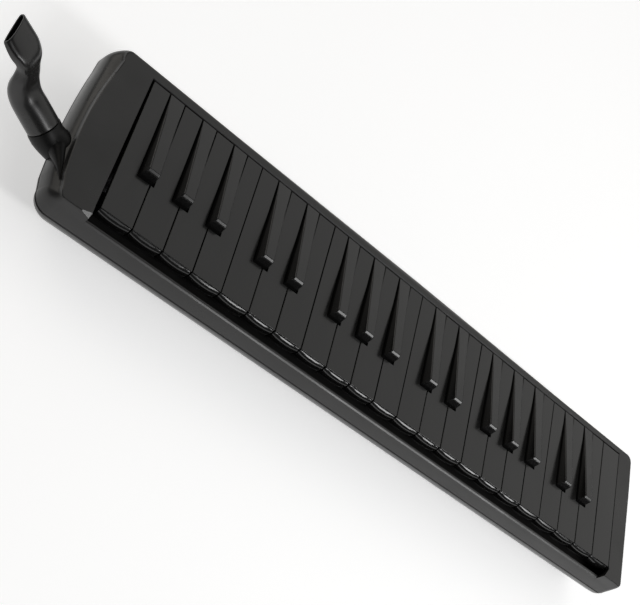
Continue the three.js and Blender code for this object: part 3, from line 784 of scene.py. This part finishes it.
def mouth_stations():
    """(centre, high direction, place) along the mouthpiece."""
    stations = []
    centre = MOUTH_SEAT + MOUTH_AXIS * SHOULDER_GAP
    heading, place = 0.0, 0.0
    stations.append((centre.copy(), RISE.copy(), 0.0))
    for length, turn in BENDS:
        steps = max(3, round(length / STATION_STEP))
        for _ in range(steps):
            heading += math.radians(turn) / steps / 2
            centre = centre + (MOUTH_AXIS * math.cos(heading) + RISE * math.sin(heading)) * (length / steps)
            heading += math.radians(turn) / steps / 2
            place += length / steps
            stations.append((centre.copy(), RISE * math.cos(heading) - MOUTH_AXIS * math.sin(heading), place))
    return stations


def mouth_ring(station, inset, shift=0.0):
    """The mouthpiece's section at a station, drawn in by the inset and shifted along its axis."""
    centre, high, place = station
    wide, tall, square, low = (eased(place, column) for column in (1, 2, 3, 4))
    slant = TIP_SLANT * max(0.0, (place - SLANT_FROM) / (MOUTH_LENGTH - SLANT_FROM)) ** 2
    points = []
    for u, v in circle(1, MOUTH_SIDES):
        lift = math.copysign(abs(v) ** (2 / square), v) * ((tall if v > 0 else tall * low) - inset)
        across = math.copysign(abs(u) ** (2 / square), u) * (wide - inset)
        points.append(tuple(centre + ACROSS * across + high * lift + MOUTH_AXIS * (shift - across * slant)))
    return points


def rod_ring(radius, distance):
    """A circle about the mouthpiece's axis, at a distance out from its seat."""
    centre = MOUTH_SEAT + MOUTH_AXIS * distance
    return [tuple(centre + ACROSS * radius * u + RISE * radius * v) for u, v in circle(1, MOUTH_SIDES)]


def mouthpiece_piece():
    """The mouthpiece as one closed wall: its spigot, its outside to the tip, and back down its inside."""
    stations = mouth_stations()
    base, tip = stations[0], stations[-1]
    spigot = [
        rod_ring(BLOW_BORE + 0.3, -SPIGOT_LENGTH), rod_ring(SPIGOT_R - 0.5, -SPIGOT_LENGTH),
        rod_ring(SPIGOT_R, -SPIGOT_LENGTH + 0.6), rod_ring(SPIGOT_R, SHOULDER_GAP),
    ]
    shoulder = [mouth_ring(base, 0.45), mouth_ring(base, 0.15, 0.05), mouth_ring(base, 0.0, 0.4)]
    outside = [mouth_ring(s, 0) for s in stations[2:-1]]
    rim = [
        mouth_ring(tip, 0.0, -0.35), mouth_ring(tip, 0.08, -0.1), mouth_ring(tip, 0.25),
        mouth_ring(tip, MOUTH_WALL - 0.25), mouth_ring(tip, MOUTH_WALL - 0.08, -0.12),
        mouth_ring(tip, MOUTH_WALL, -0.4),
    ]
    inside = [mouth_ring(s, MOUTH_WALL) for s in reversed(stations[:-1]) if s[2] > HOLLOW_FROM]
    bore = [rod_ring(BLOW_BORE, HOLLOW_FROM - 1), rod_ring(BLOW_BORE, -SPIGOT_LENGTH + 0.3)]
    return loft("mouthpiece_blade", [*spigot, *shoulder, *outside, *rim, *inside, *bore], closed=True)


dress(smooth(mouthpiece_piece(), angle=50), PIPE_BLACK, "mouthpiece", "pipe_black", "mouthpiece")
seal = ring("mouthpiece_ring_seal", [
    (SPIGOT_R + 0.3, -5.1), (SPIGOT_R + 0.5, -5.3), (SOCKET_BORE - 0.6, -5.3), (SOCKET_BORE - 0.3, -4.7),
    (SOCKET_BORE - 0.55, -4.1), (SOCKET_BORE - 0.3, -3.5), (SOCKET_BORE - 0.6, -3), (SPIGOT_R + 0.5, -3),
    (SPIGOT_R + 0.3, -3.2),
], MOUTH_SEAT, MOUTH_AXIS)
dress(smooth(seal), RUBBER, "mouthpiece_swivel", "rubber_black", "mouthpiece_seal")

# ---- what is cut into the lower half, and its fittings ----------------------------------------

STRAP_Y = (30, 56)
STRAP_X = (95, 335)
SCREWS = [
    (14, 19), (86, 9), (215, 9), (344, 9), (414, 19),
    (14, 70), (120, 78), (215, 78), (310, 78), (414, 70),
]
FEET = {
    "front_left": (-0.5, 7.8), "front_right": (428.6, 7.8),
    "back_left": (-0.5, 79), "back_right": (428.6, 79),
}
ALONG_X, UPWARD = (1, 0, 0), (0, 0, 1)
SCREW_SIDES = 32
SCREW_POCKET = [(0, -3), (3.5, -3), (3.5, -0.4), (3.1, 0), (3.1, 1.7), (0, 1.7)]
BUTTON_POCKET = [(0, -12), (4.6, -12), (4.6, 1.4), (5.2, 2.0), (5.2, 12), (0, 12)]

cutters = [lathe("button_cutter", BUTTON_POCKET, (445, PORT_Y, PORT_Z), ALONG_X)]
for i, (x, y) in enumerate(SCREWS):
    cutters.append(lathe(f"screw_cutter_{i}", SCREW_POCKET, (x, y, CASE_BOTTOM), UPWARD, SCREW_SIDES))
cut(lower, *cutters)

for obj, name in ((upper, "upper_case_shell"), (lower, "lower_case_shell")):
    obj.name = name
    tidy(obj)
    smooth(obj)
dress(upper, CASE_BLACK, "case", "case_black", "upper_case")
dress(lower, CASE_BLACK, "case", "case_black", "lower_case")

SCREW_HEAD = [(0, 1.5), (2.7, 1.5), (2.75, 1.1), (2.5, 0.75), (1.9, 0.5), (0.9, 0.42), (0, 0.4)]
CROSS_LENGTH, CROSS_WIDTH, CROSS_DEPTH = 3, 0.64, 1.15


def screw(name, x, y):
    """A pan-head screw that faces down, with a cross recess."""
    head = lathe(name, SCREW_HEAD, (x, y, CASE_BOTTOM), UPWARD, SCREW_SIDES)
    bottom, top = CASE_BOTTOM - 1, CASE_BOTTOM + CROSS_DEPTH
    arms = []
    for wide, deep in ((CROSS_LENGTH / 2, CROSS_WIDTH / 2), (CROSS_WIDTH / 2, CROSS_LENGTH / 2)):
        arms.append(block("arm", x - wide, x + wide, y - deep, y + deep, bottom, top))
    return smooth(cut(head, *arms))


for i, (x, y) in enumerate(SCREWS):
    dress(screw(f"case_screw_{i + 1}", x, y), SCREW_STEEL, "case", "spring_steel")

FOOT_PROFILE = [
    (0, -38.3), (6.3, -38.3), (6.35, -38.6), (6.25, -39.8), (6.0, -40.5), (5.5, -40.9), (4.9, -41),
    (3.6, -41), (3.4, -40.8), (0, -40.75),
]
for name, (x, y) in FEET.items():
    foot = lathe(f"rubber_foot_{name}", FOOT_PROFILE, (x, y, 0), UPWARD)
    dress(smooth(foot), RUBBER, "case", "rubber_black", f"foot_{name}")

STRAP_TOP = CASE_BOTTOM - 0.35
STRAP_THICKNESS = 1.15
STRAP_SLACK, STRAP_RIPPLE, STRAP_WAIST = 0.45, 0.08, 0.015
STRAP_COLUMNS = 120
# Shares of the strap's half width and of its thickness, run round its section.
STRAP_SECTION = [
    (-1, 0.5), (-0.97, 0.15), (-0.93, 0), (-0.6, 0.05), (0, 0.07), (0.6, 0.05), (0.93, 0), (0.97, 0.15),
    (1, 0.5), (0.97, 0.85), (0.93, 1), (0.6, 0.95), (0, 0.93), (-0.6, 0.95), (-0.93, 1), (-0.97, 0.85),
]


def strap_piece():
    """Webbing laid along the underside, a little slack in the middle, with rolled selvedges."""
    half = (STRAP_Y[1] - STRAP_Y[0]) / 2
    middle = (STRAP_Y[0] + STRAP_Y[1]) / 2
    rings = []
    for i in range(STRAP_COLUMNS + 1):
        t = i / STRAP_COLUMNS
        x = STRAP_X[0] + (STRAP_X[1] - STRAP_X[0]) * t
        swell = math.sin(math.pi * t)
        slack = STRAP_SLACK * swell ** 2 + STRAP_RIPPLE * math.sin(9 * t * math.pi) * swell
        reach = half * (1 - STRAP_WAIST * swell)
        top = STRAP_TOP - slack
        rings.append([(x, middle + u * reach, top - v * STRAP_THICKNESS) for u, v in STRAP_SECTION])
    return loft("hand_strap_webbing", rings)


strap = dress(smooth(strap_piece(), angle=60), WEBBING, "case", "webbing_black", "hand_strap")

CLIP_HALF, CLIP_INSET = 4, 7
CLIP_BASE, CLIP_CEILING, CLIP_SHOULDER, CLIP_FACE = CASE_BOTTOM - 0.02, -39.75, -39.6, -40.35


def strap_clip(name, x):
    """A moulded bar that holds the strap's end against the case."""
    front, back = STRAP_Y[0] - 0.6, STRAP_Y[1] + 0.6
    outline = [
        (front - 4, CLIP_BASE), (front - 3.6, CLIP_SHOULDER), (front - 2.6, CLIP_FACE),
        (back + 2.6, CLIP_FACE), (back + 3.6, CLIP_SHOULDER), (back + 4, CLIP_BASE),
        (back, CLIP_BASE), (back, CLIP_CEILING), (front, CLIP_CEILING), (front, CLIP_BASE),
    ]
    bar = prism_x(name, outline, x - CLIP_HALF, x + CLIP_HALF)
    return smooth(bevel(bar, width=0.35, segments=3, angle=30))


for side, x in (("left", STRAP_X[0] + CLIP_INSET), ("right", STRAP_X[1] - CLIP_INSET)):
    dress(strap_clip(f"strap_clip_{side}", x), CASE_BLACK, "case", "case_black")

# The small head at its inner end, the stem, and the cap that is pushed.
BUTTON_PROFILE = [
    (0, 425.7), (2.4, 425.7), (2.6, 425.9), (2.6, 426.5), (2.4, 426.7), (1.3, 426.7), (1.3, 443.6),
    (3.9, 443.6), (4.2, 443.9), (4.2, 447.6), (4.05, 448.1), (3.6, 448.45), (3.0, 448.58), (2.2, 448.45),
    (0, 448.2),
]
button = lathe("drain_button_cap", BUTTON_PROFILE, (0, PORT_Y, PORT_Z), ALONG_X)
dress(smooth(button), CASE_BLACK, "drain", "case_black", "drain_button")

COIL_LEFT, COIL_LENGTH, COIL_R, WIRE_R, COIL_TURNS = 431.8, 11, 3, 0.4, 5
TURN_STEPS, WIRE_SIDES = 32, 12


def coil_piece():
    """The button's return spring, its first and last half turns wound flat."""
    path = []
    steps = COIL_TURNS * TURN_STEPS
    for i in range(steps + 1):
        turns = i / steps * COIL_TURNS
        x = COIL_LEFT + COIL_LENGTH * max(0.0, min(1.0, (turns - 0.5) / (COIL_TURNS - 1)))
        angle = turns * 2 * math.pi
        path.append(Vector((x, PORT_Y + COIL_R * math.cos(angle), PORT_Z + COIL_R * math.sin(angle))))
    return loft("drain_spring_coil", tube_rings(path, [WIRE_R] * len(path), WIRE_SIDES))


coil = dress(smooth(coil_piece(), angle=50), STEEL, "case", "spring_steel", "drain_spring")
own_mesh(coil)

# ---- keys ---------------------------------------------------------------------------------------

# The naturals' letters from the lowest up, each with how far the sharp above it lies from the line
# between the naturals, or None where there is no sharp.
OCTAVE = [("f", -3.2), ("g", -0.1), ("a", 3.1), ("b", None), ("c", -1.8), ("d", 1.4), ("e", None)]
FIRST_OCTAVE = 3
NATURAL_WIDTH = PITCH - KEY_GAP
NATURAL_BOTTOM = -8.5
HEAD_LENGTH, NECK_OVERLAP = 28.3, 0.01
LIP_BACK = 1.4

PIVOT_Y, PIVOT_Z = 62, -9
ROD_HOLE_R, ROD_HOLE_HALF, ROD_HOLE_SIDES = 1.12, 6, 24
RIB_HALF, RIB_BOTTOM, RIB_DEEP, RIB_TAIL = 2.5, -7, -11.6, -8.5
PAD_HALF, PAD_FRONT, PAD_BACK, PAD_BOTTOM, PAD_TOP = 3.8, 68.5, 84, -13.7, -8.4


def lever(x, front, top):
    """The rib, hinge boss and valve pad under a key."""
    rib = prism_x("rib", [
        (front, top), (front, RIB_BOTTOM), (40, RIB_BOTTOM), (58, RIB_DEEP), (66, RIB_DEEP), (68, RIB_TAIL),
        (KEY_LENGTH, RIB_TAIL), (KEY_LENGTH, top),
    ], x - RIB_HALF, x + RIB_HALF)
    pad = block("pad", x - PAD_HALF, x + PAD_HALF, PAD_FRONT, PAD_BACK, PAD_BOTTOM, PAD_TOP)
    half = ROD_HOLE_HALF
    profile = [(0, -half), (ROD_HOLE_R, -half), (ROD_HOLE_R, half), (0, half)]
    hole = lathe("rod_hole", profile, (x, PIVOT_Y, PIVOT_Z), ALONG_X, ROD_HOLE_SIDES)
    return cut(join(rib, pad), hole)


LIP_BULGE, LIP_FULLNESS = 0.9, 0.8
LIP_COLUMNS = 14
# The lip's section: depth in front of the key's straight top edge, how much of the bulge it has, height.
LIP_SECTION = [
    (0.02, 0, -0.35), (0.05, 0, -1.02), (0.6, 0.26, -1.48), (0.9, 0.44, -1.95), (1.14, 0.6, -2.6),
    (1.3, 0.76, -3.4), (1.36, 0.88, -4.3), (1.35, 0.9, -5.6), (1.1, 0.85, -7), (0.8, 0.75, -8.2),
    (0.5, 0.5, NATURAL_BOTTOM),
]


def natural(name, left, right):
    """A natural key from x = 0 to its width. left and right are its edges behind its wide head."""
    rings = []
    for i in range(LIP_COLUMNS + 1):
        u = i / LIP_COLUMNS
        bow = LIP_BULGE * (1 - (2 * u - 1) ** 2) ** LIP_FULLNESS
        x = NATURAL_WIDTH * u
        lip = [(x, -depth - bow * share, z) for depth, share, z in LIP_SECTION]
        rings.append([
            (x, HEAD_LENGTH, -KEY_PLATE), (x, HEAD_LENGTH, 0), (x, 0, 0), *lip,
            (x, LIP_BACK, NATURAL_BOTTOM), (x, LIP_BACK, -KEY_PLATE),
        ])
    key = loft(name, rings)
    join(key, block("neck", left, right, HEAD_LENGTH - NECK_OVERLAP, KEY_LENGTH, -KEY_PLATE, 0))
    tidy(key)
    bevel(key, width=0.3, segments=3, angle=55)
    join(key, lever((left + right) / 2, front=LIP_BACK - 0.1, top=-KEY_PLATE + 0.4))
    return smooth(key)


SHARP_FOOT = 29.6
SHARP_HALF, SHARP_RISE, SHARP_BOTTOM = 4.6, 6.75, -6.9
SHARP_LEAN, SHARP_LEAN_FROM, SHARP_WALL = 0.95, -0.2, 1.2
SLOPE_FRONT, SLOPE_STEPS = 32.4, 12
CORNER_STEPS = 6
# Half of the room between two naturals' necks for the sharp.
SHARP_ROOM = 5.4
# The rows up the sharp's front face and over its front edge: y, height, how much narrower its top is
# on each side than its foot, and the radius of its top edges.
SHARP_FRONT_ROWS = [
    (29.62, 0.05, 0, 0.04), (29.95, 1.6, 0.2, 0.3), (30.3, 3.6, 0.5, 0.6), (30.6, 5.0, 0.66, 0.8),
    (30.75, 5.4, 0.7, 0.85), (31.0, 5.68, 0.74, 0.88), (31.95, 6.36, 0.84, 0.92), (32.05, 6.5, 0.88, 0.95),
    (32.15, 6.74, 0.93, 0.95),
]


def sharp_ring(y, height, narrower, radius):
    """A sharp's section at y, run round from its bottom left corner."""
    half_top = SHARP_HALF - narrower
    points = [(-SHARP_HALF, y, SHARP_BOTTOM), (-SHARP_HALF, y, SHARP_LEAN_FROM)]
    for k in range(CORNER_STEPS + 1):
        angle = math.pi - k * math.pi / (2 * CORNER_STEPS)
        x = -half_top + radius + radius * math.cos(angle)
        points.append((x, y, height - radius + radius * math.sin(angle)))
    points += [(-x, y, z) for x, y, z in reversed(points)]
    return points


def sharp(name):
    """A sharp key centred on x = 0: a wedge that is highest at its front and rounded over its top edges."""
    rings = [sharp_ring(*row) for row in SHARP_FRONT_ROWS]
    for i in range(SLOPE_STEPS + 1):
        y = SLOPE_FRONT + (KEY_LENGTH - SLOPE_FRONT) * i / SLOPE_STEPS
        height = SHARP_RISE * (1 - (i / SLOPE_STEPS)) + 0.02
        radius = min(1.0, max(0.06, height * 0.45))
        rings.append(sharp_ring(y, height, SHARP_LEAN * height / SHARP_RISE, radius))
    key = loft(name, rings)
    tidy(key, 0.02)
    inside = SHARP_HALF - SHARP_WALL
    cut(key, block("hollow", -inside, inside, SHARP_FOOT + 2, 100, -20, -SHARP_WALL))
    join(key, lever(0, front=SHARP_FOOT + 1, top=-SHARP_WALL + 0.3))
    return smooth(key, angle=36)


def copy_to(shape, name, x):
    """A piece with a key shape's mesh, moved along to x."""
    piece = bpy.data.objects.new(name, shape.data)
    piece.location = Vector((x, 0, 0)) * MM
    bpy.context.scene.collection.objects.link(piece)
    return piece


def octave_of(index):
    """The octave's number for a natural. Octaves start at c, three naturals below the first key's f."""
    return FIRST_OCTAVE + (index + 3) // len(OCTAVE)


# The sharps, as (letter, index of the natural below, x).
sharps = []
for i in range(NATURALS - 1):
    letter, offset = OCTAVE[i % len(OCTAVE)]
    if offset is not None:
        sharps.append((letter, i, (i + 1) * PITCH + offset))
sharp_above = {index: x for letter, index, x in sharps}

# Naturals with the same edges share one mesh.
shapes = {}
for i in range(NATURALS):
    start = i * PITCH + KEY_GAP / 2
    left = sharp_above[i - 1] + SHARP_ROOM - start if i - 1 in sharp_above else 0.0
    right = sharp_above[i] - SHARP_ROOM - start if i in sharp_above else NATURAL_WIDTH
    edges = (round(left, 2), round(right, 2))
    if edges not in shapes:
        shapes[edges] = natural(f"natural_shape_{len(shapes)}", left, right)
    note = f"{OCTAVE[i % len(OCTAVE)][0]}{octave_of(i)}"
    piece = copy_to(shapes[edges], f"natural_{note}", start)
    dress(piece, KEY_BLACK, f"key_{note}", "key_black", f"key_{note}")
for shape in shapes.values():
    bpy.data.objects.remove(shape)

sharp_shape = sharp("sharp_shape")
for letter, index, x in sharps:
    note = f"{letter}s{octave_of(index)}"
    piece = copy_to(sharp_shape, f"sharp_{note}", x)
    dress(piece, SHARP_BLACK, f"key_{note}", "sharp_black", f"key_{note}")
bpy.data.objects.remove(sharp_shape)

# ---- camera, lights and floor ---------------------------------------------------------------------

# The camera looks down and to the treble end, rolled far over so that the keyboard runs down the
# picture.
LOOK_AT = (140.3, 33.1, 0)
DISTANCE = 628.8
HEADING, DIP, CAMERA_ROLL = (math.radians(a) for a in (43.25, 43.06, 69.48))
ahead = Vector((math.sin(HEADING) * math.cos(DIP), math.cos(HEADING) * math.cos(DIP), -math.sin(DIP)))
level_right = Vector((math.cos(HEADING), -math.sin(HEADING), 0))
level_up = level_right.cross(ahead)
right = level_right * math.cos(CAMERA_ROLL) + level_up * math.sin(CAMERA_ROLL)
up = right.cross(ahead)
camera = bpy.data.objects.new("camera", bpy.data.cameras.new("camera"))
bpy.context.scene.collection.objects.link(camera)
turned = Matrix((right, up, -ahead)).transposed().to_4x4()
camera.matrix_world = Matrix.Translation(at(*LOOK_AT) - ahead * DISTANCE * MM) @ turned
camera.data.sensor_width = 36
camera.data.lens = 63.65
camera.data.clip_start = 0.01
bpy.context.scene.camera = camera


def area_light(name, direction, along, distance, size, radiance, color=(1, 1, 1), target=(200, 40, 0)):
    """A rectangular panel seen from the target in a direction, its long side turned along another.

    Its distance and size are in metres.
    """
    light = bpy.data.lights.new(name, "AREA")
    light.shape = "RECTANGLE"
    light.size, light.size_y = size
    light.energy = radiance * math.pi * size[0] * size[1]
    light.color = color
    obj = bpy.data.objects.new(name, light)
    bpy.context.scene.collection.objects.link(obj)
    toward = Vector(direction).normalized()
    long_side = (Vector(along) - toward * toward.dot(Vector(along))).normalized()
    turned = Matrix((long_side, toward.cross(long_side), toward)).transposed().to_4x4()
    obj.matrix_world = Matrix.Translation(at(*target) + toward * distance) @ turned


# The broad panel that the naturals' tops reflect.
area_light(
    "back_panel", direction=(0.58, 0.48, 0.69), along=(0.6, -0.7, 0), distance=1.7, size=(2.7, 1.6),
    radiance=0.62, color=(1.0, 0.99, 0.965))
# The strip that makes the thin highlights along the rail and the keys' lips.
area_light(
    "front_strip", direction=(0.55, -0.49, 0.64), along=(0.31, 0.16, -0.19), distance=1.5,
    size=(0.76, 0.24), radiance=9)
# A wider and much dimmer panel about the strip.
area_light(
    "front_panel", direction=(0.52, -0.42, 0.74), along=(0.29, 0.17, -0.15), distance=1.6,
    size=(1.9, 0.8), radiance=0.95)
# The warm panel that lights the bass end and its chamfer.
area_light(
    "left_panel", direction=(-0.77, 0.47, 0.43), along=(0.5, 0.85, 0), distance=1.66, size=(1.3, 1.0),
    radiance=1.15, color=(1.0, 0.96, 0.89))

world = bpy.data.worlds.new("studio")
bpy.context.scene.world = world
world.use_nodes = True
background = world.node_tree.nodes["Background"]
background.inputs["Color"].default_value = (0.94, 0.95, 0.96, 1)
background.inputs["Strength"].default_value = 0.1
bpy.context.scene.view_settings.view_transform = "Standard"

FLOOR_HALF = 6.0
FLOOR_GAP = 0.0002


def floor_piece():
    """A wide pale sheet just under the feet, which glows as if it was lit from below. In metres."""
    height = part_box("foot_front_left")[0].z - FLOOR_GAP
    corners = ((-1, -1), (1, -1), (1, 1), (-1, 1))
    mesh = bpy.data.meshes.new("studio_floor")
    mesh.from_pydata([(x * FLOOR_HALF, y * FLOOR_HALF, height) for x, y in corners], [], [(0, 1, 2, 3)])
    obj = bpy.data.objects.new("studio_floor", mesh)
    bpy.context.scene.collection.objects.link(obj)
    n = Nodes("floor_paper")
    base_color = n.mix(n.noise(scale=3, detail=2), grey(0.9), grey(0.93))
    roughness = n.remap(n.noise(scale=20, detail=2), 0.8, 0.9)
    glow = {"Emission_Color": (1, 1, 1, 1), "Emission_Strength": 0.5}
    obj.data.materials.append(n.shade(base_color, roughness, **glow))
    return obj


floor_piece()
